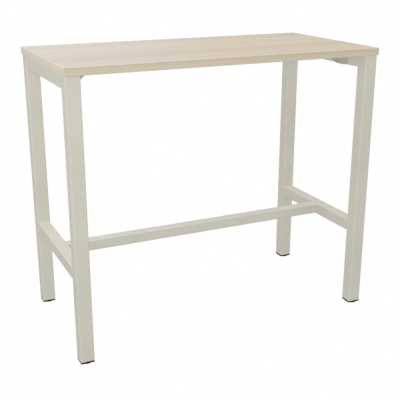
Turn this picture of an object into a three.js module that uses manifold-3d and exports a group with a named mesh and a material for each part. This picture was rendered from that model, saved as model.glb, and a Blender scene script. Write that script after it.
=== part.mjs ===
// Standing meeting table: a banded board on two welded end frames, a foot bar
// between the frames, corner brackets under the board and four levelling feet.
// Millimetres, +Z up, origin on the floor under the middle of the board.
import * as THREE from 'three';
import Module from 'manifold-3d';

const wasm = await Module();
wasm.setup();

// Board and its edge bands
const TABLE_HEIGHT = 1042;
const BOARD_LENGTH = 1200;
const BOARD_DEPTH = 600;
const BOARD_THICK = 27;
const BAND_THICK = 2;
const BAND_ROUND = 1;
const OVERHANG = 4;

// Square tubes of the frame
const LEG_SIZE = 50;
const RAIL_SIZE = 45;
const BAR_SIZE = 40;
const TUBE_WALL = 2;
const TUBE_ROUND = 3;
const INNER_ROUND = 1;
const RAIL_DROP = 3;
const FOOT_RAIL_CENTRE = 329;

// Spigots that carry the foot bar, and their screws
const SPIGOT_SIZE = 35.4;
const SPIGOT_WALL = 3;
const SPIGOT_LENGTH = 60;
const SPIGOT_SCREW_AT = 40;
const BAR_SCREW_SPREAD = 13;
const BAR_SCREW_DEPTH = 14;

// Corner brackets: the profile runs inward from the rail and down from the board
const BRACKET_WIDTH = 52;
const BRACKET_REACH = 71;
const BRACKET_HEIGHT = 46.5;
const BRACKET_LIP = 3;
const BRACKET_TOE = 17;
const BRACKET_SHEET = 3;
const BRACKET_OFFSET = 155;
const BRACKET_HOLE_SPREAD = 13;
const BOARD_SCREW_REACH = 44;
const RAIL_SCREW_DROP = 24;

// Screws: head, shank and the holes they pass through
const MACHINE_SCREW = { head: 5.25, headHeight: 3.3, shank: 3, socket: 2 };
const WOOD_SCREW = { head: 4.75, headHeight: 3, shank: 2.3, socket: 1.7 };
const HOLE_CLEARANCE = 0.3;
const HEAD_GAP = 0.1;
const HEAD_CROWN = 0.7;
const HEAD_SLOPE = 0.6;
const SOCKET_DEPTH = 0.55;
const BOARD_SCREW_DEPTH = 19;
const RAIL_SCREW_DEPTH = 17;

// Levelling feet
const FLANGE_BOTTOM = 2.4;
const FLANGE_TOP = 8.8;
const PLUG_TOP = 34;
const PLUG_GAP = 0.3;
const PLUG_ROUND = 1.2;
const GLIDE_RADIUS = 24.5;
const GLIDE_HEIGHT = 2;
const GLIDE_CHAMFER = 0.5;
const SOCKET_FLOOR = 1;
const SOCKET_RADIUS = 5.3;
const STUD_FOOT_RADIUS = 5;
const STUD_RADIUS = 4;
const STUD_TOP = 45;
const STUD_CHAMFER = 1;
const SPANNER_HEX = 13;
const SPANNER_BOTTOM = 2.4;
const SPANNER_TOP = 6.4;
const RECESS_RADIUS = 8.5;
const RECESS_TOP = 8.5;
const NUT_HEX = 13;
const NUT_BOTTOM = 27.8;
const NUT_TOP = 33.8;
const BORE_RADIUS = 4.4;

// Sizes that follow from the ones above
const UNDERSIDE = TABLE_HEIGHT - BOARD_THICK;
const FRAME_X = BOARD_LENGTH / 2 - OVERHANG;
const FRAME_Y = BOARD_DEPTH / 2 - OVERHANG;
const LEG_X = FRAME_X - LEG_SIZE / 2;
const LEG_Y = FRAME_Y - LEG_SIZE / 2;
const LEG_LENGTH = UNDERSIDE - FLANGE_TOP;
const RAIL_LENGTH = 2 * (FRAME_Y - LEG_SIZE);
const RAIL_FACE = LEG_X - RAIL_SIZE / 2;
const RAIL_CENTRE = UNDERSIDE - RAIL_DROP - RAIL_SIZE / 2;

// The left end frame faces +X; the right one is the same frame turned half round.
const END_FRAMES = {
  left: { x: -LEG_X, turn: 0, ends: { front: -1, back: 1 } },
  right: { x: LEG_X, turn: Math.PI, ends: { front: 1, back: -1 } },
};
const PAIR = { a: -1, b: 1 };
const ROUND_STEPS = 3;
const TURN_STEPS = 16;
const SCREW_STEPS = 10;
const GLIDE_STEPS = 32;

// How far a cutter runs past a face, and a joined piece into its neighbour.
const CUT_PAST = 1;

const MATERIALS = {
  board_laminate: { color: 0xdacdbb, roughness: 0.55, metalness: 0 },
  edge_band: { color: 0xcfbca0, roughness: 0.5, metalness: 0 },
  frame_paint: { color: 0xcac7ba, roughness: 0.6, metalness: 0 },
  black_plastic: { color: 0x161616, roughness: 0.55, metalness: 0 },
  zinc_steel: { color: 0xb4b7ba, roughness: 0.35, metalness: 1 },
};

// Welds equal points, drops empty triangles and turns the shell outward.
function weld(geometry) {
  const flat = geometry.index ? geometry.toNonIndexed() : geometry;
  const position = flat.attributes.position;
  const seen = new Map();
  const points = [];
  const corners = [];
  for (let i = 0; i < position.count; i += 1) {
    const point = [position.getX(i), position.getY(i), position.getZ(i)];
    const key = point.map((value) => Math.round(value * 1e4)).join(',');
    if (!seen.has(key)) {
      seen.set(key, points.length / 3);
      points.push(...point);
    }
    corners.push(seen.get(key));
  }
  const triangles = [];
  let volume = 0;
  for (let i = 0; i < corners.length; i += 3) {
    const [a, b, c] = corners.slice(i, i + 3);
    if (a === b || b === c || c === a) continue;
    triangles.push(a, b, c);
    const [p, q, r] = [a, b, c].map((k) => new THREE.Vector3().fromArray(points, 3 * k));
    volume += p.dot(q.cross(r));
  }
  if (volume < 0) triangles.reverse();
  return { points, triangles };
}

function solid(geometry) {
  const { points, triangles } = weld(geometry);
  return new wasm.Manifold(new wasm.Mesh({
    numProp: 3,
    vertProperties: new Float32Array(points),
    triVerts: new Uint32Array(triangles),
  }));
}

function cut(body, tools) {
  return tools.reduce((left, tool) => left.subtract(tool), body);
}

function roundedSquare(size, round) {
  const half = size / 2;
  const core = half - round;
  const shape = new THREE.Shape();
  shape.absarc(core, core, round, 0, Math.PI / 2);
  shape.absarc(-core, core, round, Math.PI / 2, Math.PI);
  shape.absarc(-core, -core, round, Math.PI, 1.5 * Math.PI);
  shape.absarc(core, -core, round, 1.5 * Math.PI, 2 * Math.PI);
  shape.closePath();
  return shape;
}

// A shape drawn in XY becomes a bar along the named axis, centred on the origin.
function bar(shape, length, axis) {
  const options = { depth: length, bevelEnabled: false, curveSegments: ROUND_STEPS };
  const geometry = new THREE.ExtrudeGeometry(shape, options).translate(0, 0, -length / 2);
  if (axis === 'x') geometry.rotateZ(Math.PI / 2).rotateY(Math.PI / 2);
  if (axis === 'y') geometry.rotateX(Math.PI / 2);
  return geometry;
}

function tube(size, wall, length, axis) {
  const shape = roundedSquare(size, TUBE_ROUND);
  shape.holes.push(roundedSquare(size - 2 * wall, INNER_ROUND));
  return solid(bar(shape, length, axis));
}

// Turns [radius, height] points about Z.
function turned(profile, steps = TURN_STEPS) {
  const points = profile.map(([radius, height]) => new THREE.Vector2(radius, height));
  return new THREE.LatheGeometry(points, steps).rotateX(Math.PI / 2);
}

function rod(radius, bottom, top, steps = TURN_STEPS) {
  return turned([[0, bottom], [radius, bottom], [radius, top], [0, top]], steps);
}

function hexRod(acrossFlats, bottom, top) {
  return rod(acrossFlats / Math.sqrt(3), bottom, top, 6);
}

// Screw with its head below z = 0 and its shank rising to z = depth.
function screw(kind, depth) {
  const head = kind.head;
  const low = -HEAD_GAP - kind.headHeight;
  const profile = [
    [0, low], [HEAD_CROWN * head, low], [head, low + HEAD_SLOPE * kind.headHeight], [head, -HEAD_GAP],
    [kind.shank, -HEAD_GAP], [kind.shank, depth], [0, depth],
  ];
  const socket = hexRod(2 * kind.socket, low - CUT_PAST, low + SOCKET_DEPTH * kind.headHeight);
  return cut(solid(turned(profile, SCREW_STEPS)), [solid(socket)]);
}

// Hole for a screw, along Z or along X, at a spot in the frame of the piece it is cut from.
function hole(kind, low, high, axis, spot) {
  const drill = rod(kind.shank + HOLE_CLEARANCE, low, high, SCREW_STEPS);
  if (axis === 'x') drill.rotateY(Math.PI / 2);
  return solid(drill.translate(...spot));
}

function boardBody() {
  const size = [BOARD_LENGTH - 2 * BAND_THICK, BOARD_DEPTH - 2 * BAND_THICK, BOARD_THICK];
  const depth = BOARD_SCREW_DEPTH - BRACKET_SHEET + CUT_PAST;
  const holes = [];
  for (const sx of [-1, 1]) {
    for (const sy of [-1, 1]) {
      for (const step of Object.values(PAIR)) {
        const x = sx * (RAIL_FACE - BOARD_SCREW_REACH);
        const y = sy * BRACKET_OFFSET + step * BRACKET_HOLE_SPREAD;
        holes.push(hole(WOOD_SCREW, -CUT_PAST, depth, 'z', [x, y, -BOARD_THICK / 2]));
      }
    }
  }
  return cut(solid(new THREE.BoxGeometry(...size)), holes);
}

// Band profile: flat against the board, its two outer edges rounded.
function bandShape() {
  const half = BOARD_THICK / 2;
  const shape = new THREE.Shape();
  shape.moveTo(0, -half);
  shape.lineTo(BAND_THICK - BAND_ROUND, -half);
  shape.absarc(BAND_THICK - BAND_ROUND, -half + BAND_ROUND, BAND_ROUND, -Math.PI / 2, 0);
  shape.absarc(BAND_THICK - BAND_ROUND, half - BAND_ROUND, BAND_ROUND, 0, Math.PI / 2);
  shape.lineTo(0, half);
  shape.closePath();
  return shape;
}

function topRailBody() {
  const holes = [];
  for (const sy of [-1, 1]) {
    for (const step of Object.values(PAIR)) {
      const y = sy * BRACKET_OFFSET + step * BRACKET_HOLE_SPREAD;
      const z = UNDERSIDE - RAIL_SCREW_DROP - RAIL_CENTRE;
      holes.push(hole(MACHINE_SCREW, -2 * TUBE_WALL, CUT_PAST, 'x', [RAIL_SIZE / 2, y, z]));
    }
  }
  return cut(tube(RAIL_SIZE, TUBE_WALL, RAIL_LENGTH, 'y'), holes);
}

// Holes for the screws at one end of the foot bar, in the bar's own frame.
function barHoles(sx, middle) {
  return Object.values(PAIR).map((step) => {
    const x = sx * (RAIL_FACE - SPIGOT_SCREW_AT) + step * BAR_SCREW_SPREAD - middle;
    const top = TUBE_WALL + SPIGOT_WALL + CUT_PAST;
    return hole(MACHINE_SCREW, -CUT_PAST, top, 'z', [x, 0, -BAR_SIZE / 2]);
  });
}

function footBarBody() {
  const body = tube(BAR_SIZE, TUBE_WALL, 2 * RAIL_FACE, 'x');
  return cut(body, [...barHoles(-1, 0), ...barHoles(1, 0)]);
}

function spigotBody(sx, middle) {
  return cut(tube(SPIGOT_SIZE, SPIGOT_WALL, SPIGOT_LENGTH, 'x'), barHoles(sx, middle));
}

// Bracket profile in (reach, height), reach measured inward from the rail.
function bracketShape() {
  const shape = new THREE.Shape();
  shape.moveTo(0, 0);
  shape.lineTo(0, -BRACKET_HEIGHT);
  shape.lineTo(BRACKET_TOE, -BRACKET_HEIGHT);
  shape.lineTo(BRACKET_REACH, -BRACKET_LIP);
  shape.lineTo(BRACKET_REACH, 0);
  shape.closePath();
  return shape;
}

function bracketBody() {
  const sheet = BRACKET_SHEET;
  const drop = BRACKET_HEIGHT - 2 * sheet;
  const pocket = new THREE.BoxGeometry(BRACKET_REACH, BRACKET_WIDTH - 2 * sheet, drop);
  pocket.translate(sheet + BRACKET_REACH / 2, 0, -sheet - drop / 2);
  const holes = Object.values(PAIR).flatMap((step) => {
    const y = step * BRACKET_HOLE_SPREAD;
    return [
      hole(WOOD_SCREW, -sheet - CUT_PAST, CUT_PAST, 'z', [BOARD_SCREW_REACH, y, 0]),
      hole(MACHINE_SCREW, -CUT_PAST, sheet + CUT_PAST, 'x', [0, y, -RAIL_SCREW_DROP]),
    ];
  });
  return cut(solid(bar(bracketShape(), BRACKET_WIDTH, 'y')), [solid(pocket), ...holes]);
}

function insertBody() {
  const flangeHeight = FLANGE_TOP - FLANGE_BOTTOM;
  const flange = bar(roundedSquare(LEG_SIZE, TUBE_ROUND), flangeHeight, 'z');
  flange.translate(0, 0, FLANGE_BOTTOM + flangeHeight / 2);
  const plugSize = LEG_SIZE - 2 * TUBE_WALL - 2 * PLUG_GAP;
  const plugHeight = PLUG_TOP - FLANGE_TOP + CUT_PAST;
  const plug = bar(roundedSquare(plugSize, PLUG_ROUND), plugHeight, 'z');
  plug.translate(0, 0, PLUG_TOP - plugHeight / 2);
  return cut(solid(flange).add(solid(plug)), [
    solid(rod(RECESS_RADIUS, FLANGE_BOTTOM - CUT_PAST, RECESS_TOP)),
    solid(rod(BORE_RADIUS, FLANGE_BOTTOM, PLUG_TOP + CUT_PAST)),
    solid(hexRod(NUT_HEX + 2 * PLUG_GAP, NUT_BOTTOM - PLUG_GAP, PLUG_TOP + CUT_PAST)),
  ]);
}

function nutBody() {
  const bore = solid(rod(BORE_RADIUS, NUT_BOTTOM - CUT_PAST, NUT_TOP + CUT_PAST));
  return cut(solid(hexRod(NUT_HEX, NUT_BOTTOM, NUT_TOP)), [bore]);
}

function glideBody() {
  const profile = [
    [0, 0], [GLIDE_RADIUS - GLIDE_CHAMFER, 0], [GLIDE_RADIUS, GLIDE_CHAMFER],
    [GLIDE_RADIUS, GLIDE_HEIGHT], [SOCKET_RADIUS, GLIDE_HEIGHT],
    [SOCKET_RADIUS, SOCKET_FLOOR], [0, SOCKET_FLOOR],
  ];
  return solid(turned(profile, GLIDE_STEPS));
}

function studBody() {
  const low = SOCKET_FLOOR + PLUG_GAP;
  const shoulder = SPANNER_BOTTOM + CUT_PAST;
  const profile = [
    [0, low], [STUD_FOOT_RADIUS, low], [STUD_FOOT_RADIUS, shoulder], [STUD_RADIUS, shoulder],
    [STUD_RADIUS, STUD_TOP - STUD_CHAMFER], [STUD_RADIUS - STUD_CHAMFER, STUD_TOP], [0, STUD_TOP],
  ];
  const hex = solid(hexRod(SPANNER_HEX, SPANNER_BOTTOM, SPANNER_TOP));
  return solid(turned(profile)).add(hex);
}

const palette = Object.fromEntries(Object.entries(MATERIALS).map(([name, look]) => (
  [name, new THREE.MeshStandardMaterial({ name, ...look })]
)));

function piece(name, body, material, spot = [0, 0, 0]) {
  const { vertProperties, triVerts } = body.getMesh();
  const geometry = new THREE.BufferGeometry();
  geometry.setAttribute('position', new THREE.BufferAttribute(vertProperties, 3));
  geometry.setIndex(new THREE.BufferAttribute(triVerts, 1));
  const mesh = new THREE.Mesh(geometry.toNonIndexed(), palette[material]);
  mesh.geometry.computeVertexNormals();
  mesh.name = name;
  mesh.position.set(...spot);
  return mesh;
}

function group(parts, spot, turn = 0) {
  const holder = new THREE.Group();
  holder.add(...parts);
  holder.position.set(...spot);
  holder.rotation.z = turn;
  return holder;
}

// A band's profile stands in XZ, its flat side at the board's edge, its length along Y.
function edgeBand(name, length, reach, turn) {
  const strip = piece(`edge_band_${name}`, solid(bar(bandShape(), length, 'y')), 'edge_band');
  strip.position.x = reach;
  return group([strip], [0, 0, 0], turn);
}

function board() {
  const reachX = BOARD_LENGTH / 2 - BAND_THICK;
  const reachY = BOARD_DEPTH / 2 - BAND_THICK;
  return group([
    piece('top_board', boardBody(), 'board_laminate'),
    edgeBand('front', BOARD_LENGTH, reachY, -Math.PI / 2),
    edgeBand('back', BOARD_LENGTH, reachY, Math.PI / 2),
    edgeBand('left', 2 * reachY, reachX, Math.PI),
    edgeBand('right', 2 * reachY, reachX, 0),
  ], [0, 0, TABLE_HEIGHT - BOARD_THICK / 2]);
}

function footBar() {
  const parts = [piece('foot_bar', footBarBody(), 'frame_paint')];
  for (const [side, { x }] of Object.entries(END_FRAMES)) {
    const sx = Math.sign(x);
    const middle = sx * (RAIL_FACE - SPIGOT_LENGTH / 2);
    parts.push(piece(`bar_spigot_${side}`, spigotBody(sx, middle), 'frame_paint', [middle, 0, 0]));
    for (const [mark, step] of Object.entries(PAIR)) {
      const at = sx * (RAIL_FACE - SPIGOT_SCREW_AT) + step * BAR_SCREW_SPREAD;
      const body = screw(MACHINE_SCREW, BAR_SCREW_DEPTH);
      parts.push(piece(`bar_screw_${side}_${mark}`, body, 'zinc_steel', [at, 0, -BAR_SIZE / 2]));
    }
  }
  return group(parts, [0, 0, FOOT_RAIL_CENTRE]);
}

function bracket(place, y) {
  const parts = [piece(`bracket_${place}`, bracketBody(), 'frame_paint')];
  for (const [mark, step] of Object.entries(PAIR)) {
    const across = step * BRACKET_HOLE_SPREAD;
    const upSpot = [BOARD_SCREW_REACH, across, -BRACKET_SHEET];
    const outSpot = [BRACKET_SHEET, across, -RAIL_SCREW_DROP];
    const upBody = screw(WOOD_SCREW, BOARD_SCREW_DEPTH);
    const outBody = screw(MACHINE_SCREW, RAIL_SCREW_DEPTH);
    const up = piece(`board_screw_${place}_${mark}`, upBody, 'zinc_steel', upSpot);
    const out = piece(`rail_screw_${place}_${mark}`, outBody, 'zinc_steel', outSpot);
    out.rotation.y = -Math.PI / 2;
    parts.push(up, out);
  }
  return group(parts, [RAIL_SIZE / 2, y, UNDERSIDE]);
}

function foot(place, y) {
  return group([
    piece(`foot_insert_${place}`, insertBody(), 'black_plastic'),
    piece(`foot_nut_${place}`, nutBody(), 'zinc_steel'),
    piece(`glide_${place}`, glideBody(), 'black_plastic'),
    piece(`glide_stud_${place}`, studBody(), 'zinc_steel'),
  ], [0, y, 0]);
}

function endFrame(side, { x, turn, ends }) {
  const footRail = tube(RAIL_SIZE, TUBE_WALL, RAIL_LENGTH, 'y');
  const parts = [
    piece(`top_rail_${side}`, topRailBody(), 'frame_paint', [0, 0, RAIL_CENTRE]),
    piece(`foot_rail_${side}`, footRail, 'frame_paint', [0, 0, FOOT_RAIL_CENTRE]),
  ];
  for (const [end, sy] of Object.entries(ends)) {
    const place = `${end}_${side}`;
    const leg = tube(LEG_SIZE, TUBE_WALL, LEG_LENGTH, 'z');
    const middle = FLANGE_TOP + LEG_LENGTH / 2;
    parts.push(
      piece(`leg_${place}`, leg, 'frame_paint', [0, sy * LEG_Y, middle]),
      bracket(place, sy * BRACKET_OFFSET),
      foot(place, sy * LEG_Y),
    );
  }
  return group(parts, [x, 0, 0], turn);
}

const endFrames = Object.entries(END_FRAMES).map(([side, place]) => endFrame(side, place));
const table = group([board(), footBar(), ...endFrames], [0, 0, 0]);
table.name = 'standing_meeting_table';

export default table;
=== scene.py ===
"""Standing meeting table: the visible pieces and finishes, modelled on the table's solid parts.

Metres, +Z up, origin on the floor under the middle of the board.
"""
from contextlib import contextmanager
from math import pi, radians, sqrt

import bmesh
import bpy
from bpy.props import FloatProperty, FloatVectorProperty, IntProperty, PointerProperty
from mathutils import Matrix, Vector


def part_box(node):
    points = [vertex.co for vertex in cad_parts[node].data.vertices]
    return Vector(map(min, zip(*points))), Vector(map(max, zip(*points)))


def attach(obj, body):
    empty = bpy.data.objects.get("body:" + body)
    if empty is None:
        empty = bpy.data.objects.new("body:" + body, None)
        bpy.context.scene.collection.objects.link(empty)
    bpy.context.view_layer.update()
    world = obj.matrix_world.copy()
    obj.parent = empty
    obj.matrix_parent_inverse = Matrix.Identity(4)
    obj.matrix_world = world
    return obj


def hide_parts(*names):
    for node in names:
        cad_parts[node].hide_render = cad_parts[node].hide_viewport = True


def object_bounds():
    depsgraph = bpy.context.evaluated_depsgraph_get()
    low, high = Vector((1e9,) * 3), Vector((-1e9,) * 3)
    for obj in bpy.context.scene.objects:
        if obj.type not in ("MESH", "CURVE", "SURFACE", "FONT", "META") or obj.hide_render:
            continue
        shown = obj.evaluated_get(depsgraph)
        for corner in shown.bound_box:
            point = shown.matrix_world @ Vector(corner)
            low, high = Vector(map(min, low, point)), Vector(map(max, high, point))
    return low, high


bl_info = {
    "name": "Standing Meeting Table",
    "version": (1, 0, 0),
    "blender": (4, 5, 0),
    "location": "View3D > Sidebar > Table",
    "description": "Models the board, tubes, brackets, screws and feet of a standing meeting table",
    "category": "Add Mesh",
}

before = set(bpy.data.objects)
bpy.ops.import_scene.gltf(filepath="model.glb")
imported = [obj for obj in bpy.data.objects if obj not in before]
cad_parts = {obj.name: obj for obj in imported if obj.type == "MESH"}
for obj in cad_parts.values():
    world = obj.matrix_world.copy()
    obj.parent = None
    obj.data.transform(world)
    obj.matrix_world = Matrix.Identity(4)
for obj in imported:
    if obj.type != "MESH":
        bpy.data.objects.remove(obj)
CAD_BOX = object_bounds()

SIDES = ("left", "right")
ENDS = ("front", "back")
PLACES = tuple(f"{end}_{side}" for side in SIDES for end in ENDS)
LEVELS = ("top", "foot")
PAIR = ("a", "b")
X_AXIS = Vector((1, 0, 0))
Y_AXIS = Vector((0, 1, 0))
Z_AXIS = Vector((0, 0, 1))
STRAIGHT = 0.999
SAME_PLACE = 1e-5
SMOOTH_ANGLE = radians(35)
HEX_SIDES = 6


def length(name, description, default):
    """A size in metres."""
    return FloatProperty(name=name, description=description, default=default, unit="LENGTH", precision=5)


def colour(name, description, default):
    """A linear colour."""
    return FloatVectorProperty(
        name=name, description=description, default=default, subtype="COLOR", min=0, max=1
    )


def place(name, description, default):
    """A point in the room."""
    return FloatVectorProperty(
        name=name, description=description, default=default, subtype="TRANSLATION", unit="LENGTH"
    )


def power(name, description, default):
    """A lamp's power in watts."""
    return FloatProperty(name=name, description=description, default=default, unit="POWER")


class TableSizes(bpy.types.PropertyGroup):
    """Sizes that the solid parts leave open."""

    tube_round: length("Tube corner", "Outer corner radius of the square tubes", 0.003)
    tube_wall: length("Tube wall", "Wall of the square tubes", 0.002)
    round_steps: IntProperty(name="Corner steps", description="Faces across a rounded corner", default=6)
    seam: length("Board seam", "Chamfer where the board meets its edge bands", 0.0002)
    band_round: length("Band edge", "Radius on the outer edges of the edge bands", 0.001)
    weld: length("Weld bead", "Radius of the weld bead round a rail's end", 0.0014)
    weld_ripple: length("Weld ripple", "Height of the ripples along a weld bead", 0.0006)
    bracket_sheet: length("Bracket sheet", "Sheet thickness of the corner brackets", 0.003)
    bracket_toe: length("Bracket toe", "How far a bracket's foot stands out from the rail", 0.017)
    bracket_edge: length("Bracket edge", "Rounding on the edges of the brackets", 0.0007)
    machine_head: length("Machine screw head", "Height of a machine screw's head", 0.0033)
    machine_shank: length("Machine screw shank", "Shank radius of a machine screw", 0.003)
    machine_socket: length("Machine screw socket", "Hex socket of a machine screw, across flats", 0.004)
    wood_head: length("Board screw head", "Height of a board screw's head", 0.003)
    wood_shank: length("Board screw shank", "Shank radius of a board screw", 0.0023)
    wood_socket: length("Board screw socket", "Hex socket of a board screw, across flats", 0.0034)
    plug: length("Insert plug", "Width of the ribbed plug inside the leg", 0.0454)
    stud_pitch: length("Stud pitch", "Rise of the levelling thread in one turn", 0.00125)
    stud_radius: length("Stud radius", "Outer radius of the levelling thread", 0.004)
    stud_foot: length("Stud foot", "Radius of the stud's round foot", 0.005)
    spanner: length("Spanner flats", "Hexagon of the stud and nut, across flats", 0.013)


class TableColours(bpy.types.PropertyGroup):
    """Colours of the finishes."""

    oak_light: colour("Oak light", "Light wood between the grain lines", (0.557, 0.481, 0.383))
    oak_dark: colour("Oak dark", "Dark wood along the grain lines", (0.444, 0.364, 0.272))
    oak_pore: colour("Oak pore", "Fine pores in the wood", (0.305, 0.240, 0.173))
    edge_light: colour("Band light", "Light wood of the edge bands", (0.530, 0.470, 0.360))
    edge_dark: colour("Band dark", "Dark wood of the edge bands", (0.445, 0.385, 0.285))
    # Painted sheen and light: the end bands are the same wood as the long bands, made paler and greyer for
    # the sheen and extra light on the end faces.
    end_painted_sheen_light: colour("End band light", "Light wood of the bands at the two ends", (0.625, 0.572, 0.465))
    end_painted_sheen_dark: colour("End band dark", "Dark wood of the bands at the two ends", (0.528, 0.474, 0.375))
    paint_light: colour("Paint light", "Powder coat, high spots", (0.510, 0.490, 0.425))
    paint_dark: colour("Paint dark", "Powder coat, low spots", (0.480, 0.462, 0.400))
    # Painted shade: the brackets carry the frame's grey coat, darkened for the shadow under the board.
    bracket_painted_shade_light: colour("Bracket light", "Powder coat of the brackets, high spots", (0.400, 0.385, 0.335))
    bracket_painted_shade_dark: colour("Bracket dark", "Powder coat of the brackets, low spots", (0.370, 0.356, 0.308))
    plastic_light: colour("Plastic light", "Black plastic, worn spots", (0.004, 0.004, 0.004))
    plastic_dark: colour("Plastic dark", "Black plastic", (0.002, 0.002, 0.002))
    zinc_light: colour("Zinc light", "Bright zinc plate", (0.700, 0.710, 0.720))
    zinc_dark: colour("Zinc dark", "Dull zinc plate", (0.480, 0.490, 0.510))
    floor: colour("Floor", "Pale studio floor", (1.0, 1.0, 1.0))


class TableStage(bpy.types.PropertyGroup):
    """Camera and light."""

    camera_place: place("Camera place", "Where the camera stands", (-1.1903, -2.5457, 1.3820))
    camera_yaw: FloatProperty(
        name="Camera yaw", description="Turn to the right from the front", default=0.4387, subtype="ANGLE"
    )
    camera_pitch: FloatProperty(
        name="Camera pitch", description="Tilt down from level", default=0.3237, subtype="ANGLE"
    )
    camera_lens: FloatProperty(
        name="Focal length", description="Lens on a 36 mm square sensor, in millimetres", default=66.734
    )
    floor_span: length("Floor", "Width of the floor", 80.0)
    sky: FloatProperty(name="Sky", description="Light from the white surroundings", default=0.66)
    key_power: power("Key light", "Power of the soft box at the front left", 382.0)
    key_place: place("Key place", "Where the front left soft box hangs", (-2.9, -4.6, 5.6))
    over_power: power("Overhead light", "Power of the soft box over the table", 98.0)
    over_place: place("Overhead place", "Where the soft box over the table hangs", (-0.5, -0.5, 7.5))
    box_size: length("Soft box", "Width of the key and overhead soft boxes", 4.0)
    side_power: power("Side light", "Power of the small soft box at the left", 27.0)
    side_place: place("Side place", "Where the small soft box at the left hangs", (-2.8, -1.0, 2.4))
    window_power: power("Window light", "Power of the cool light behind the table", 12.0)
    window_place: place("Window place", "Where the cool light behind the table is", (0.9, 5.0, 3.0))
    window_tint: colour("Window tint", "Colour of the light behind the table", (0.03, 0.38, 1.0))
    small_size: length("Small light", "Width of the side light and the window light", 2.0)


class Recipe:
    """A node material: one Principled shader and the patterns that feed it."""

    def __init__(self, name, metallic=0.0, shine=0.5):
        self.material = bpy.data.materials.new(name)
        self.material.use_nodes = True
        self.tree = self.material.node_tree
        self.shader = self.tree.nodes["Principled BSDF"]
        self.shader.inputs["Metallic"].default_value = metallic
        self.shader.inputs["Specular IOR Level"].default_value = shine
        self.place = self.tree.nodes.new("ShaderNodeTexCoord").outputs["Object"]

    def feed(self, source, socket):
        """Joins an output, or sets a plain value."""
        if isinstance(source, bpy.types.NodeSocket):
            self.tree.links.new(source, socket)
        else:
            socket.default_value = source

    def mapped(self, stretch, offset=(0, 0, 0)):
        """The piece's own coordinates, stretched and shifted."""
        mapping = self.tree.nodes.new("ShaderNodeMapping")
        mapping.inputs["Scale"].default_value = stretch
        mapping.inputs["Location"].default_value = offset
        self.feed(self.place, mapping.inputs["Vector"])
        return mapping.outputs["Vector"]

    def noise(self, stretch, detail=2.0, roughness=0.5, distortion=0.0):
        """Noise with so many spots to the metre along X, Y and Z."""
        noise = self.tree.nodes.new("ShaderNodeTexNoise")
        for name, value in (("Scale", 1.0), ("Detail", detail), ("Roughness", roughness),
                            ("Distortion", distortion)):
            noise.inputs[name].default_value = value
        self.feed(self.mapped(stretch), noise.inputs["Vector"])
        return noise.outputs["Fac"]

    def rings(self, stretch, offset, distortion, detail):
        """Growth rings stretched into the long arches of flat-cut wood."""
        wave = self.tree.nodes.new("ShaderNodeTexWave")
        wave.wave_type = "RINGS"
        wave.rings_direction = "SPHERICAL"
        for name, value in (("Scale", 1.0), ("Distortion", distortion), ("Detail", detail)):
            wave.inputs[name].default_value = value
        self.feed(self.mapped(stretch, offset), wave.inputs["Vector"])
        return wave.outputs["Fac"]

    def math(self, operation, first, second, third=0.0):
        node = self.tree.nodes.new("ShaderNodeMath")
        node.operation = operation
        for source, socket in zip((first, second, third), node.inputs):
            self.feed(source, socket)
        return node.outputs["Value"]

    def ramp(self, value, low, high):
        """Stretches the part of a pattern between low and high to the range 0 to 1."""
        node = self.tree.nodes.new("ShaderNodeMapRange")
        node.interpolation_type = "SMOOTHSTEP"
        for name, source in (("Value", value), ("From Min", low), ("From Max", high)):
            self.feed(source, node.inputs[name])
        return node.outputs["Result"]

    def mix(self, factor, first, second):
        """A colour between two colours."""
        node = self.tree.nodes.new("ShaderNodeMix")
        node.data_type = "RGBA"
        sockets = [socket for socket in node.inputs if socket.type == "RGBA"]
        self.feed(factor, node.inputs["Factor"])
        for source, socket in zip((first, second), sockets):
            self.feed(source if isinstance(source, bpy.types.NodeSocket) else (*source, 1.0), socket)
        return next(socket for socket in node.outputs if socket.type == "RGBA")

    def paint(self, source):
        self.feed(source, self.shader.inputs["Base Color"])

    def gloss(self, pattern, start, end):
        """Roughness that goes from start, where a pattern is 0, to end, where it is 1."""
        node = self.tree.nodes.new("ShaderNodeMapRange")
        self.feed(pattern, node.inputs["Value"])
        node.inputs["To Min"].default_value = start
        node.inputs["To Max"].default_value = end
        self.feed(node.outputs["Result"], self.shader.inputs["Roughness"])

    def bump(self, height, depth, strength):
        node = self.tree.nodes.new("ShaderNodeBump")
        node.inputs["Distance"].default_value = depth
        node.inputs["Strength"].default_value = strength
        self.feed(height, node.inputs["Height"])
        self.feed(node.outputs["Normal"], self.shader.inputs["Normal"])


def along(axis, lengthways, across):
    """A stretch that is lengthways along one axis and across it on the others."""
    return [lengthways if axis[i] else across for i in range(3)]


def evenly(count):
    """A stretch that is the same along all three axes."""
    return [count] * 3


BAND_SHARE = 0.34
STREAK_SHARE = 0.36
FIBRE_SHARE = 0.22
ARCH_SHARE = 0.08
PORE_SHARE = 0.35
FIBRE_GLOSS = 0.06


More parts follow.
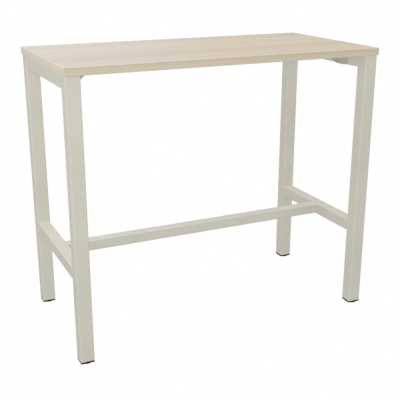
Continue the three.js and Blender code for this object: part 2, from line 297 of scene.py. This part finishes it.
def wood(name, axis, light, dark, pore, roughness):
    """Straight-grained wood print: broad bands, streaks, fine fibres, arches and pores along an axis."""
    recipe = Recipe(name)
    bands = recipe.noise(along(axis, lengthways=0.5, across=11.0), detail=3.0)
    streak_stretch = along(axis, lengthways=1.7, across=75.0)
    streaks = recipe.noise(streak_stretch, detail=4.0, roughness=0.6, distortion=0.3)
    fibres = recipe.noise(along(axis, lengthways=7.0, across=480.0), detail=3.0, roughness=0.65)
    arch_stretch = along(axis, lengthways=0.55, across=9.0)
    arches = recipe.rings(arch_stretch, offset=(0.9, 1.7, 0.0), distortion=3.5, detail=3.0)
    grain = recipe.math("MULTIPLY_ADD", bands, BAND_SHARE, recipe.math("MULTIPLY", streaks, STREAK_SHARE))
    grain = recipe.math("MULTIPLY_ADD", fibres, FIBRE_SHARE, grain)
    grain = recipe.math("MULTIPLY_ADD", arches, ARCH_SHARE, grain)
    pore_noise = recipe.noise(along(axis, lengthways=38.0, across=1100.0), detail=1.0)
    pores = recipe.ramp(pore_noise, low=0.60, high=0.72)
    pore_share = recipe.math("MULTIPLY", pores, PORE_SHARE)
    ground = recipe.mix(recipe.ramp(grain, low=0.32, high=0.68), dark, light)
    recipe.paint(recipe.mix(pore_share, ground, pore))
    recipe.gloss(fibres, roughness - FIBRE_GLOSS, roughness + FIBRE_GLOSS)
    recipe.bump(recipe.math("SUBTRACT", fibres, pores), depth=0.0002, strength=0.12)
    return recipe.material


def oak_laminate(name):
    """Matt oak print of the board, its grain along the length."""
    tints = bpy.context.scene.table_colours
    return wood(name, X_AXIS, tints.oak_light, tints.oak_dark, tints.oak_pore, roughness=0.50)


def oak_band_long(name):
    """Edge band of the front and back, grain along X."""
    tints = bpy.context.scene.table_colours
    return wood(name, X_AXIS, tints.edge_light, tints.edge_dark, tints.oak_pore, roughness=0.45)


def oak_band_short_painted_sheen(name):
    """Edge band of the two ends, grain along Y: the band wood made paler and greyer, as painted sheen and
    light on the end faces.
    """
    tints = bpy.context.scene.table_colours
    return wood(name, Y_AXIS, tints.end_painted_sheen_light, tints.end_painted_sheen_dark, tints.oak_pore, roughness=0.45)


SPECK_SHARE = 0.4
MOTTLE_SHARE = 0.6


def powder(name, light, dark):
    """Powder coat: faint mottling and a fine orange-peel skin."""
    recipe = Recipe(name)
    mottle = recipe.noise(evenly(9.0), detail=3.0)
    speck = recipe.noise(evenly(900.0), detail=1.0)
    peel = recipe.noise(evenly(420.0), detail=2.0)
    tone = recipe.math("MULTIPLY_ADD", speck, SPECK_SHARE, recipe.math("MULTIPLY", mottle, MOTTLE_SHARE))
    recipe.paint(recipe.mix(recipe.ramp(tone, low=0.35, high=0.65), dark, light))
    recipe.gloss(peel, start=0.42, end=0.55)
    recipe.bump(peel, depth=0.0002, strength=0.10)
    return recipe.material


def powder_coat(name):
    """Warm grey coat of the frame."""
    tints = bpy.context.scene.table_colours
    return powder(name, tints.paint_light, tints.paint_dark)


def bracket_painted_shade_coat(name):
    """The frame's grey coat, darkened as painted shade for the shadow under the board."""
    tints = bpy.context.scene.table_colours
    return powder(name, tints.bracket_painted_shade_light, tints.bracket_painted_shade_dark)


def black_plastic(name):
    """Moulded black plastic with a fine spark-eroded skin."""
    tints = bpy.context.scene.table_colours
    recipe = Recipe(name, shine=0.04)
    scuff = recipe.ramp(recipe.noise(evenly(160.0), detail=4.0, roughness=0.7), low=0.5, high=0.75)
    skin = recipe.noise(evenly(1500.0), detail=2.0)
    recipe.paint(recipe.mix(scuff, tints.plastic_dark, tints.plastic_light))
    recipe.gloss(scuff, start=0.50, end=0.62)
    recipe.bump(skin, depth=0.0001, strength=0.2)
    return recipe.material


def bright_zinc(name):
    """Zinc plate: bright metal with cloudy patches and fine turning marks."""
    tints = bpy.context.scene.table_colours
    recipe = Recipe(name, metallic=1.0)
    cloud = recipe.ramp(recipe.noise(evenly(220.0), detail=3.0), low=0.35, high=0.7)
    marks = recipe.noise(along(Z_AXIS, lengthways=5000.0, across=300.0), detail=1.0)
    recipe.paint(recipe.mix(cloud, tints.zinc_dark, tints.zinc_light))
    recipe.gloss(cloud, start=0.42, end=0.26)
    recipe.bump(marks, depth=0.00005, strength=0.15)
    return recipe.material


def finish(make):
    """The material that a function makes, made once and named apart from the CAD's own."""
    name = f"table_{make.__name__}"
    return bpy.data.materials.get(name) or make(name)


def deselect():
    bpy.ops.object.select_all(action="DESELECT")


def activate(piece):
    deselect()
    piece.select_set(True)
    bpy.context.view_layer.objects.active = piece


def settle(name):
    """Names the new object and puts its place into its mesh."""
    bpy.ops.object.transform_apply(location=True, rotation=True, scale=True)
    piece = bpy.context.object
    piece.name = name
    piece.data.name = name
    return piece


def block(name, low, high):
    """A box between two corners."""
    deselect()
    bpy.ops.mesh.primitive_cube_add(size=1, location=(low + high) / 2, scale=high - low)
    return settle(name)


def disc(name, centre, radius, low, high, sides):
    """An upright round or hexagonal bar from one height to another."""
    deselect()
    bpy.ops.mesh.primitive_cylinder_add(
        vertices=sides, radius=radius, depth=high - low, location=(centre.x, centre.y, (low + high) / 2)
    )
    return settle(name)


@contextmanager
def editing(piece, kind, wanted):
    """Edit mode on a piece, with the wanted vertices, edges or faces selected."""
    activate(piece)
    bpy.ops.object.mode_set(mode="EDIT")
    bpy.ops.mesh.select_mode(type=kind)
    bpy.ops.mesh.select_all(action="DESELECT")
    mesh = bmesh.from_edit_mesh(piece.data)
    members = {"VERT": mesh.verts, "EDGE": mesh.edges, "FACE": mesh.faces}[kind]
    chosen = [member for member in members if wanted(member)]
    for member in chosen:
        member.select_set(True)
    bmesh.update_edit_mesh(piece.data)
    if not chosen:
        raise RuntimeError(f"{piece.name}: nothing to select")
    yield
    bpy.ops.object.mode_set(mode="OBJECT")


def everything(_member):
    return True


def runs_along(axis):
    def test(edge):
        return abs((edge.verts[1].co - edge.verts[0].co).normalized().dot(axis)) > STRAIGHT
    return test


def faces_to(direction):
    def test(face):
        return face.normal.dot(direction) > STRAIGHT
    return test


def faces_along(axis):
    def test(face):
        return abs(face.normal.dot(axis)) > STRAIGHT
    return test


def at_height(height):
    """Edges that lie flat at one height."""
    def test(edge):
        return all(abs(vertex.co.z - height) < SAME_PLACE for vertex in edge.verts)
    return test


def round_edges(piece, wanted, radius, steps):
    with editing(piece, "EDGE", wanted):
        bpy.ops.mesh.bevel(offset_type="OFFSET", offset=radius, segments=steps, affect="EDGES")


def extrude(rise):
    bpy.ops.mesh.extrude_region_move(TRANSFORM_OT_translate={"value": (0, 0, rise)})


def modify(piece, kind, **settings):
    """Adds a modifier, sets it and applies it."""
    activate(piece)
    bpy.ops.object.modifier_add(type=kind)
    modifier = piece.modifiers[-1]
    for name, value in settings.items():
        setattr(modifier, name, value)
    bpy.ops.object.modifier_apply(modifier=modifier.name)


def cut(piece, cutter):
    """Takes one piece out of another."""
    modify(piece, "BOOLEAN", object=cutter, operation="DIFFERENCE", solver="EXACT")
    bpy.data.objects.remove(cutter)


def copy_of(piece, name, place=(0, 0, 0), turn=(0, 0, 0)):
    """A copy with its own mesh, turned about the origin and moved."""
    activate(piece)
    bpy.ops.object.duplicate(linked=False)
    copy = bpy.context.object
    copy.rotation_euler = turn
    copy.location = place
    return settle(name)


def dress(piece, make_finish, body="frame", replaces=()):
    """Smooths a finished piece, gives it its finish and hangs it on its body."""
    activate(piece)
    bpy.ops.object.shade_smooth_by_angle(angle=SMOOTH_ANGLE)
    modify(piece, "WEIGHTED_NORMAL", keep_sharp=True)
    piece.data.materials.clear()
    piece.data.materials.append(finish(make_finish))
    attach(piece, body)
    if replaces:
        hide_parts(*replaces)


def square_tube(name, node, axis):
    """A rounded square tube in the place of a solid part, open at both ends."""
    sizes = bpy.context.scene.table_sizes
    piece = block(name, *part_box(node))
    round_edges(piece, runs_along(axis), sizes.tube_round, sizes.round_steps)
    with editing(piece, "FACE", faces_along(axis)):
        bpy.ops.mesh.delete(type="ONLY_FACE")
    modify(piece, "SOLIDIFY", thickness=sizes.tube_wall, offset=-1, use_even_offset=True)
    dress(piece, powder_coat, replaces=[node])


class TABLE_OT_top_board(bpy.types.Operator):
    """Models the board between its edge bands"""

    bl_idname = "meeting_table.top_board"
    bl_label = "Top board"

    SEAM_STEPS = 1

    def execute(self, context):
        piece = block("board_panel", *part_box("top_board"))
        round_edges(piece, everything, context.scene.table_sizes.seam, self.SEAM_STEPS)
        dress(piece, oak_laminate, replaces=["top_board"])
        return {"FINISHED"}


class TABLE_OT_edge_bands(bpy.types.Operator):
    """Models the four edge bands, rounded on their outer edges"""

    bl_idname = "meeting_table.edge_bands"
    bl_label = "Edge bands"

    OUTWARD = {"front": -Y_AXIS, "back": Y_AXIS, "left": -X_AXIS, "right": X_AXIS}

    def execute(self, context):
        for side, outward in self.OUTWARD.items():
            self.band(side, outward, context.scene.table_sizes)
        return {"FINISHED"}

    def band(self, side, outward, sizes):
        node = f"edge_band_{side}"
        low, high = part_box(node)
        reach = max(low.dot(outward), high.dot(outward))
        long_side = side in ENDS

        def outer(edge):
            touching = [abs(vertex.co.dot(outward) - reach) < SAME_PLACE for vertex in edge.verts]
            if long_side:
                return any(touching)
            return all(touching) and not runs_along(Z_AXIS)(edge)

        piece = block(f"band_{side}", low, high)
        round_edges(piece, outer, sizes.band_round, sizes.round_steps)
        # The end bands take a paler, greyer copy of the band wood, as painted sheen and light.
        make_finish = oak_band_long if long_side else oak_band_short_painted_sheen
        dress(piece, make_finish, replaces=[node])


class TABLE_OT_legs(bpy.types.Operator):
    """Models the four legs"""

    bl_idname = "meeting_table.legs"
    bl_label = "Legs"

    def execute(self, context):
        for place in PLACES:
            square_tube(f"leg_tube_{place}", f"leg_{place}", Z_AXIS)
        return {"FINISHED"}


class TABLE_OT_rails(bpy.types.Operator):
    """Models the top rails and foot rails of both end frames"""

    bl_idname = "meeting_table.rails"
    bl_label = "Rails"

    def execute(self, context):
        for side in SIDES:
            for level in LEVELS:
                square_tube(f"{level}_rail_tube_{side}", f"{level}_rail_{side}", Y_AXIS)
        return {"FINISHED"}


class TABLE_OT_foot_bar(bpy.types.Operator):
    """Models the foot bar between the end frames"""

    bl_idname = "meeting_table.foot_bar"
    bl_label = "Foot bar"

    def execute(self, context):
        square_tube("foot_bar_tube", "foot_bar", X_AXIS)
        return {"FINISHED"}


class TABLE_OT_weld_beads(bpy.types.Operator):
    """Models the weld bead round each end of each rail"""

    bl_idname = "meeting_table.weld_beads"
    bl_label = "Weld beads"

    STEPS_A_SIDE = 36
    ROUND_STEPS = 2

    def execute(self, context):
        sizes = context.scene.table_sizes
        ripple = bpy.data.textures.new("weld_ripple", "CLOUDS")
        ripple.noise_scale = 2 * sizes.weld
        for side in SIDES:
            for level in LEVELS:
                low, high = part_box(f"{level}_rail_{side}")
                for end, y in zip(ENDS, (low.y, high.y)):
                    piece = self.bead(f"weld_{level}_{end}_{side}", low, high, y, sizes)
                    modify(piece, "DISPLACE", texture=ripple, texture_coords="GLOBAL",
                           strength=sizes.weld_ripple)
                    dress(piece, powder_coat)
        return {"FINISHED"}

    def bead(self, name, low, high, y, sizes):
        """A round bead along the rail's outline where it meets the leg."""
        middle = (low + high) / 2
        deselect()
        bpy.ops.mesh.primitive_plane_add(
            size=high.x - low.x, location=(middle.x, y, middle.z), rotation=(pi / 2, 0, 0)
        )
        piece = settle(name)
        with editing(piece, "VERT", everything):
            bpy.ops.mesh.bevel(offset=sizes.tube_round, segments=sizes.round_steps, affect="VERTICES")
            bpy.ops.mesh.select_all(action="SELECT")
            bpy.ops.mesh.delete(type="ONLY_FACE")
        with editing(piece, "EDGE", lambda edge: edge.calc_length() > 2 * sizes.tube_round):
            bpy.ops.mesh.subdivide(number_cuts=self.STEPS_A_SIDE)
        bpy.ops.object.convert(target="CURVE")
        curve = bpy.context.object.data
        curve.bevel_depth = sizes.weld
        curve.bevel_resolution = self.ROUND_STEPS
        bpy.ops.object.convert(target="MESH")
        return bpy.context.object


class TABLE_OT_brackets(bpy.types.Operator):
    """Models the folded corner brackets under the board"""

    bl_idname = "meeting_table.brackets"
    bl_label = "Brackets"

    EDGE_STEPS = 3

    def execute(self, context):
        sizes = context.scene.table_sizes
        first = PLACES[0]
        pattern = self.folded("bracket_pattern", f"bracket_{first}", sizes)
        start = sum(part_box(f"bracket_{first}"), Vector()) / 2
        for place in PLACES:
            middle = sum(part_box(f"bracket_{place}"), Vector()) / 2
            turn = 0 if place.endswith("left") else pi
            turned_start = Vector((-start.x, -start.y, start.z)) if turn else start
            piece = copy_of(pattern, f"bracket_sheet_{place}", middle - turned_start, (0, 0, turn))
            # The brackets take the frame's coat darkened as painted shade for the shadow under the board.
            dress(piece, bracket_painted_shade_coat, replaces=[f"bracket_{place}"])
        bpy.data.objects.remove(pattern)
        return {"FINISHED"}

    def folded(self, name, node, sizes):
        """A five-sided sheet pan with its sloping front left open."""
        low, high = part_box(node)
        toe = Vector((low.x + sizes.bracket_toe, 0, low.z))
        tip = Vector((high.x, 0, high.z - sizes.bracket_sheet))
        slope = tip - toe
        piece = block(name, low, high)
        with editing(piece, "FACE", everything):
            bpy.ops.mesh.bisect(plane_co=toe, plane_no=(slope.z, 0, -slope.x), clear_outer=True)
        with editing(piece, "FACE", faces_to(X_AXIS)):
            bpy.ops.mesh.delete(type="FACE")
        modify(piece, "SOLIDIFY", thickness=sizes.bracket_sheet, offset=-1, use_even_offset=True)
        modify(piece, "BEVEL", width=sizes.bracket_edge, segments=self.EDGE_STEPS, limit_method="ANGLE")
        return piece


class TABLE_OT_screws(bpy.types.Operator):
    """Models the screws of the brackets and of the foot bar"""

    bl_idname = "meeting_table.screws"
    bl_label = "Screws"

    SIDES_ROUND = 32
    HEAD_STEPS = 5
    TIP_STEPS = 1
    DOME_SHARE = 0.7
    TIP_SHARE = 0.3
    SOCKET_SHARE = 0.6

    def execute(self, context):
        sizes = context.scene.table_sizes
        machine = (sizes.machine_head, sizes.machine_shank, sizes.machine_socket)
        wood_kind = (sizes.wood_head, sizes.wood_shank, sizes.wood_socket)
        bar_nodes = [f"bar_screw_{side}_{mark}" for side in SIDES for mark in PAIR]
        board_nodes = [f"board_screw_{place}_{mark}" for place in PLACES for mark in PAIR]
        rail_nodes = [f"rail_screw_{place}_{mark}" for place in PLACES for mark in PAIR]
        self.upright(bar_nodes, machine)
        self.upright(board_nodes, wood_kind)
        self.level(rail_nodes, machine)
        return {"FINISHED"}

    def upright(self, nodes, kind):
        """Screws that go straight up, their heads below."""
        low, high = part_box(nodes[0])
        pattern = self.pattern((high.y - low.y) / 2, high.z - low.z, kind)
        for node in nodes:
            low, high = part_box(node)
            spot = Vector(((low.x + high.x) / 2, (low.y + high.y) / 2, low.z))
            piece = copy_of(pattern, f"{node}_steel", spot)
            dress(piece, bright_zinc, replaces=[node])
        bpy.data.objects.remove(pattern)

    def level(self, nodes, kind):
        """Screws that go outward into a rail."""
        low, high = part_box(nodes[0])
        pattern = self.pattern((high.y - low.y) / 2, high.x - low.x, kind)
        for node in nodes:
            low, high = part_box(node)
            outward = 1 if low.x > 0 else -1
            head_x = low.x if outward > 0 else high.x
            spot = Vector((head_x, (low.y + high.y) / 2, (low.z + high.z) / 2))
            piece = copy_of(pattern, f"{node}_steel", spot, (0, outward * pi / 2, 0))
            dress(piece, bright_zinc, replaces=[node])
        bpy.data.objects.remove(pattern)

    def pattern(self, head_radius, reach, kind):
        """A domed hex-socket screw on the origin, head down at zero and tip up."""
        head_height, shank_radius, socket = kind
        centre = Vector()
        piece = disc("screw_pattern", centre, head_radius, 0, head_height, self.SIDES_ROUND)
        round_edges(piece, at_height(0), self.DOME_SHARE * head_height, self.HEAD_STEPS)
        with editing(piece, "FACE", faces_to(Z_AXIS)):
            bpy.ops.mesh.inset(thickness=head_radius - shank_radius)
            extrude(reach - head_height)
        round_edges(piece, at_height(reach), self.TIP_SHARE * shank_radius, self.TIP_STEPS)
        socket_top = self.SOCKET_SHARE * head_height
        cut(piece, disc("socket", centre, socket / sqrt(3), -head_height, socket_top, HEX_SIDES))
        return piece


class TABLE_OT_foot_inserts(bpy.types.Operator):
    """Models the ribbed plastic inserts that close the legs"""

    bl_idname = "meeting_table.foot_inserts"
    bl_label = "Foot inserts"

    SIDES_ROUND = 32
    EDGE_STEPS = 2
    RIBS = 5
    RIB_RISE = 0.001
    RIB_TAPER = 0.0036
    CORE_SHARE = 0.93
    RECESS_RADIUS = 0.0085
    RECESS_DEPTH = 0.0061
    BORE_RADIUS = 0.0044
    POCKET_DEPTH = 0.0065
    POCKET_GAP = 0.0006

    def execute(self, context):
        sizes = context.scene.table_sizes
        first = PLACES[0]
        pattern = self.insert("insert_pattern", first, sizes)
        start = sum(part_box(f"foot_insert_{first}"), Vector()) / 2
        for place in PLACES:
            node = f"foot_insert_{place}"
            middle = sum(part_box(node), Vector()) / 2
            piece = copy_of(pattern, f"insert_{place}", middle - start)
            dress(piece, black_plastic, replaces=[node])
        bpy.data.objects.remove(pattern)
        return {"FINISHED"}

    def insert(self, name, place, sizes):
        """A flange under the leg and a barbed plug inside it."""
        low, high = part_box(f"foot_insert_{place}")
        flange_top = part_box(f"leg_{place}")[0].z
        middle = (low + high) / 2
        piece = block(name, low, Vector((high.x, high.y, flange_top)))
        round_edges(piece, runs_along(Z_AXIS), sizes.tube_round, sizes.round_steps)
        round_edges(piece, at_height(low.z), sizes.band_round / 2, self.EDGE_STEPS)
        with editing(piece, "FACE", faces_to(Z_AXIS)):
            bpy.ops.mesh.inset(thickness=(high.x - low.x - sizes.plug) / 2)
            self.barbs(middle)
            extrude(high.z - flange_top - self.RIBS * (self.RIB_RISE + self.RIB_TAPER))
        self.hollow(piece, low, high, sizes)
        return piece

    def barbs(self, middle):
        """Ribs that widen at the root and taper to the core, one above the other."""
        self.scale(self.CORE_SHARE, middle)
        for _rib in range(self.RIBS):
            extrude(self.RIB_RISE)
            self.scale(1 / self.CORE_SHARE, middle)
            extrude(self.RIB_TAPER)
            self.scale(self.CORE_SHARE, middle)

    def scale(self, share, middle):
        bpy.ops.transform.resize(value=(share, share, 1), center_override=middle)

    def hollow(self, piece, low, high, sizes):
        """Cuts the recess for the stud's hexagon, the bore for its thread and the pocket for the nut."""
        middle = (low + high) / 2
        recess_low = low.z - self.RECESS_DEPTH
        recess_top = low.z + self.RECESS_DEPTH
        cut(piece, disc("recess", middle, self.RECESS_RADIUS, recess_low, recess_top, self.SIDES_ROUND))
        bore_top = high.z + self.RECESS_DEPTH
        cut(piece, disc("bore", middle, self.BORE_RADIUS, low.z, bore_top, self.SIDES_ROUND))
        pocket = (sizes.spanner + self.POCKET_GAP) / sqrt(3)
        pocket_low = high.z - self.POCKET_DEPTH
        cut(piece, disc("pocket", middle, pocket, pocket_low, high.z + self.POCKET_DEPTH, HEX_SIDES))


class TABLE_OT_glides(bpy.types.Operator):
    """Models the round glides that stand on the floor"""

    bl_idname = "meeting_table.glides"
    bl_label = "Glides"

    SIDES_ROUND = 64
    FOOT_ROUND = 0.0005
    FOOT_STEPS = 4
    TOP_ROUND = 0.0005
    TOP_STEPS = 3
    RIM = 0.003
    DISH = 0.0005
    BOSS_RADIUS = 0.0085
    SOCKET_GAP = 0.0003

    def execute(self, context):
        sizes = context.scene.table_sizes
        first = PLACES[0]
        socket_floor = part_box(f"glide_stud_{first}")[0].z - self.SOCKET_GAP
        pattern = self.glide("glide_pattern", f"glide_{first}", socket_floor, sizes)
        start = sum(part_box(f"glide_{first}"), Vector()) / 2
        for place in PLACES:
            node = f"glide_{place}"
            middle = sum(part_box(node), Vector()) / 2
            piece = copy_of(pattern, f"glide_disc_{place}", middle - start)
            dress(piece, black_plastic, body=node, replaces=[node])
        bpy.data.objects.remove(pattern)
        return {"FINISHED"}

    def glide(self, name, node, socket_floor, sizes):
        """A disc with a rounded foot, a shallow dish on top and a boss round the stud."""
        low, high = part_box(node)
        radius = (high.x - low.x) / 2
        piece = disc(name, (low + high) / 2, radius, low.z, high.z, self.SIDES_ROUND)
        round_edges(piece, at_height(low.z), self.FOOT_ROUND, self.FOOT_STEPS)
        round_edges(piece, at_height(high.z), self.TOP_ROUND, self.TOP_STEPS)
        dish_radius = radius - self.TOP_ROUND - self.RIM
        socket_radius = sizes.stud_foot + self.SOCKET_GAP
        with editing(piece, "FACE", faces_to(Z_AXIS)):
            bpy.ops.mesh.inset(thickness=self.RIM)
            extrude(-self.DISH)
            bpy.ops.mesh.inset(thickness=dish_radius - self.BOSS_RADIUS)
            extrude(self.DISH)
            bpy.ops.mesh.inset(thickness=self.BOSS_RADIUS - socket_radius)
            extrude(socket_floor - high.z)
        return piece


class TABLE_OT_studs(bpy.types.Operator):
    """Models the threaded studs of the levelling feet"""

    bl_idname = "meeting_table.studs"
    bl_label = "Levelling studs"

    STEPS_ROUND = 24
    THREAD_DEPTH = 0.0007
    CREST_SHARE = 0.2
    HEX_HEIGHT = 0.004
    HEX_CHAMFER = 0.0004
    HEX_STEPS = 1
    FOOT_STEPS = 2
    SPARE_TURNS = 3
    MERGE_WITHIN = 1e-6

    def execute(self, context):
        sizes = context.scene.table_sizes
        for place in PLACES:
            node = f"glide_stud_{place}"
            low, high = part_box(node)
            middle = (low + high) / 2
            hex_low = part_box(f"foot_insert_{place}")[0].z
            hex_high = hex_low + self.HEX_HEIGHT
            piece = self.thread(f"stud_{place}", middle, hex_high - self.HEX_CHAMFER, high.z, sizes)
            hexagon = disc("hexagon", middle, sizes.spanner / sqrt(3), hex_low, hex_high, HEX_SIDES)
            for height in (hex_low, hex_high):
                round_edges(hexagon, at_height(height), self.HEX_CHAMFER, self.HEX_STEPS)
            foot = disc("foot", middle, sizes.stud_foot, low.z, hex_low, self.STEPS_ROUND)
            round_edges(foot, at_height(low.z), self.HEX_CHAMFER, self.FOOT_STEPS)
            activate(piece)
            hexagon.select_set(True)
            foot.select_set(True)
            bpy.ops.object.join()
            dress(piece, bright_zinc, body=f"stud_{place}", replaces=[node])
        return {"FINISHED"}

    def tooth(self, name, sizes):
        """The outline of one tooth beside the Z axis, open on its inner side."""
        root = sizes.stud_radius - self.THREAD_DEPTH
        spot = ((root + sizes.stud_radius) / 2, 0, 0)
        deselect()
        bpy.ops.mesh.primitive_plane_add(size=1, location=spot, rotation=(pi / 2, 0, 0))
        bpy.context.object.scale = (self.THREAD_DEPTH, sizes.stud_pitch, 1)
        piece = settle(name)
        with editing(piece, "EDGE", lambda edge: all(v.co.x < spot[0] for v in edge.verts)):
            bpy.ops.mesh.delete(type="EDGE_FACE")
        with editing(piece, "EDGE", lambda edge: all(v.co.x > spot[0] for v in edge.verts)):
            bpy.ops.transform.resize(value=(1, 1, self.CREST_SHARE))
        return piece

    def thread(self, name, middle, bottom, top, sizes):
        """A tooth outline swept round and up, cut off square at both ends."""
        pitch = sizes.stud_pitch
        piece = self.tooth(name, sizes)
        turns = int((top - bottom) / pitch) + self.SPARE_TURNS
        modify(piece, "SCREW", screw_offset=pitch, iterations=turns, steps=self.STEPS_ROUND,
               render_steps=self.STEPS_ROUND, use_merge_vertices=True)
        piece.location = (middle.x, middle.y, bottom - pitch)
        activate(piece)
        settle(name)
        with editing(piece, "FACE", everything):
            bpy.ops.mesh.remove_doubles(threshold=self.MERGE_WITHIN)
        for height, way in ((top, 1), (bottom, -1)):
            with editing(piece, "FACE", everything):
                bpy.ops.mesh.bisect(plane_co=(0, 0, height), plane_no=(0, 0, way),
                                    clear_outer=True, use_fill=True)
        with editing(piece, "FACE", everything):
            bpy.ops.mesh.normals_make_consistent(inside=False)
        return piece


class TABLE_OT_hidden_parts(bpy.types.Operator):
    """Gives the parts inside the tubes their finishes"""

    bl_idname = "meeting_table.hidden_parts"
    bl_label = "Spigots and nuts"

    def execute(self, context):
        for side in SIDES:
            self.coat(f"bar_spigot_{side}", powder_coat)
        for place in PLACES:
            self.coat(f"foot_nut_{place}", bright_zinc)
        return {"FINISHED"}

    def coat(self, node, make_finish):
        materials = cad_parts[node].data.materials
        materials.clear()
        materials.append(finish(make_finish))


class TABLE_OT_stage(bpy.types.Operator):
    """Sets up the pale floor, the soft light and the camera"""

    bl_idname = "meeting_table.stage"
    bl_label = "Stage"

    FLOOR_DROP = 0.0003
    SENSOR_WIDTH = 36

    def execute(self, context):
        stage = context.scene.table_stage
        self.floor(stage, context.scene.table_colours)
        self.surround(stage)
        self.softbox("key_softbox", stage.key_place, stage.key_power, stage.box_size)
        self.softbox("over_softbox", stage.over_place, stage.over_power, stage.box_size)
        self.softbox("side_softbox", stage.side_place, stage.side_power, stage.small_size)
        self.softbox("window", stage.window_place, stage.window_power, stage.small_size, stage.window_tint)
        self.camera(stage)
        context.scene.view_settings.view_transform = "Standard"
        return {"FINISHED"}

    def floor(self, stage, tints):
        """A plain floor that takes no shadow and throws no light on the table."""
        deselect()
        bpy.ops.mesh.primitive_plane_add(size=stage.floor_span, location=(0, 0, -self.FLOOR_DROP))
        floor = settle("studio_floor")
        floor.data.materials.append(self.floor_finish("pale_floor", tints))
        floor.visible_diffuse = False
        floor.visible_glossy = False

    def floor_finish(self, name, tints):
        """An even pale colour that is clear from below, so that the underside can be seen."""
        recipe = Recipe(name, shine=0.0)
        recipe.paint((0, 0, 0, 1))
        recipe.shader.inputs["Emission Color"].default_value = (*tints.floor, 1)
        recipe.shader.inputs["Emission Strength"].default_value = 1.0
        nodes = recipe.tree.nodes
        clear = nodes.new("ShaderNodeBsdfTransparent")
        chooser = nodes.new("ShaderNodeMixShader")
        side = nodes.new("ShaderNodeNewGeometry").outputs["Backfacing"]
        sources = (side, recipe.shader.outputs["BSDF"], clear.outputs["BSDF"])
        for source, socket in zip(sources, chooser.inputs):
            recipe.feed(source, socket)
        recipe.feed(chooser.outputs["Shader"], nodes["Material Output"].inputs["Surface"])
        return recipe.material

    def surround(self, stage):
        """An even dome of light that shows as plain white behind the table."""
        world = bpy.data.worlds.new("white_studio")
        world.use_nodes = True
        tree = world.node_tree
        background = tree.nodes["Background"]
        background.inputs["Color"].default_value = (1, 1, 1, 1)
        seen = tree.nodes.new("ShaderNodeLightPath").outputs["Is Camera Ray"]
        strength = tree.nodes.new("ShaderNodeMapRange")
        strength.inputs["To Min"].default_value = stage.sky
        strength.inputs["To Max"].default_value = 1.0
        tree.links.new(seen, strength.inputs["Value"])
        tree.links.new(strength.outputs["Result"], background.inputs["Strength"])
        bpy.context.scene.world = world

    def softbox(self, name, spot, watts, size, tint=(1, 1, 1)):
        """A large lamp turned to the middle of the table, that casts no shadow."""
        spot = Vector(spot)
        middle = (CAD_BOX[0] + CAD_BOX[1]) / 2
        turn = (middle - spot).to_track_quat("-Z", "Y").to_euler()
        bpy.ops.object.light_add(type="AREA", location=spot, rotation=turn)
        lamp = bpy.context.object
        lamp.name = name
        lamp.data.energy = watts
        lamp.data.color = tint
        lamp.data.size = size
        lamp.data.use_shadow = False

    def camera(self, stage):
        turn = (pi / 2 - stage.camera_pitch, 0, -stage.camera_yaw)
        bpy.ops.object.camera_add(location=stage.camera_place, rotation=turn)
        camera = bpy.context.object
        camera.name = "photo_camera"
        camera.data.sensor_width = self.SENSOR_WIDTH
        camera.data.lens = stage.camera_lens
        bpy.context.scene.camera = camera


OPERATORS = (
    TABLE_OT_top_board,
    TABLE_OT_edge_bands,
    TABLE_OT_legs,
    TABLE_OT_rails,
    TABLE_OT_foot_bar,
    TABLE_OT_weld_beads,
    TABLE_OT_brackets,
    TABLE_OT_screws,
    TABLE_OT_foot_inserts,
    TABLE_OT_glides,
    TABLE_OT_studs,
    TABLE_OT_hidden_parts,
    TABLE_OT_stage,
)


class TABLE_PT_pieces(bpy.types.Panel):
    """Lists the pieces of the table"""

    bl_idname = "TABLE_PT_pieces"
    bl_label = "Standing meeting table"
    bl_space_type = "VIEW_3D"
    bl_region_type = "UI"
    bl_category = "Table"

    def draw(self, context):
        for operator in OPERATORS:
            self.layout.operator(operator.bl_idname)
        for group in (context.scene.table_sizes, context.scene.table_colours, context.scene.table_stage):
            column = self.layout.column(align=True)
            for name in group.__annotations__:
                column.prop(group, name)


GROUPS = {"table_sizes": TableSizes, "table_colours": TableColours, "table_stage": TableStage}
CLASSES = (*GROUPS.values(), *OPERATORS, TABLE_PT_pieces)


def register():
    for each in CLASSES:
        bpy.utils.register_class(each)
    for name, group in GROUPS.items():
        setattr(bpy.types.Scene, name, PointerProperty(type=group))


def unregister():
    for name in GROUPS:
        delattr(bpy.types.Scene, name)
    for each in reversed(CLASSES):
        bpy.utils.unregister_class(each)


def main():
    register()
    for operator in OPERATORS:
        module, name = operator.bl_idname.split(".")
        getattr(getattr(bpy.ops, module), name)()


if __name__ == "__main__":
    main()
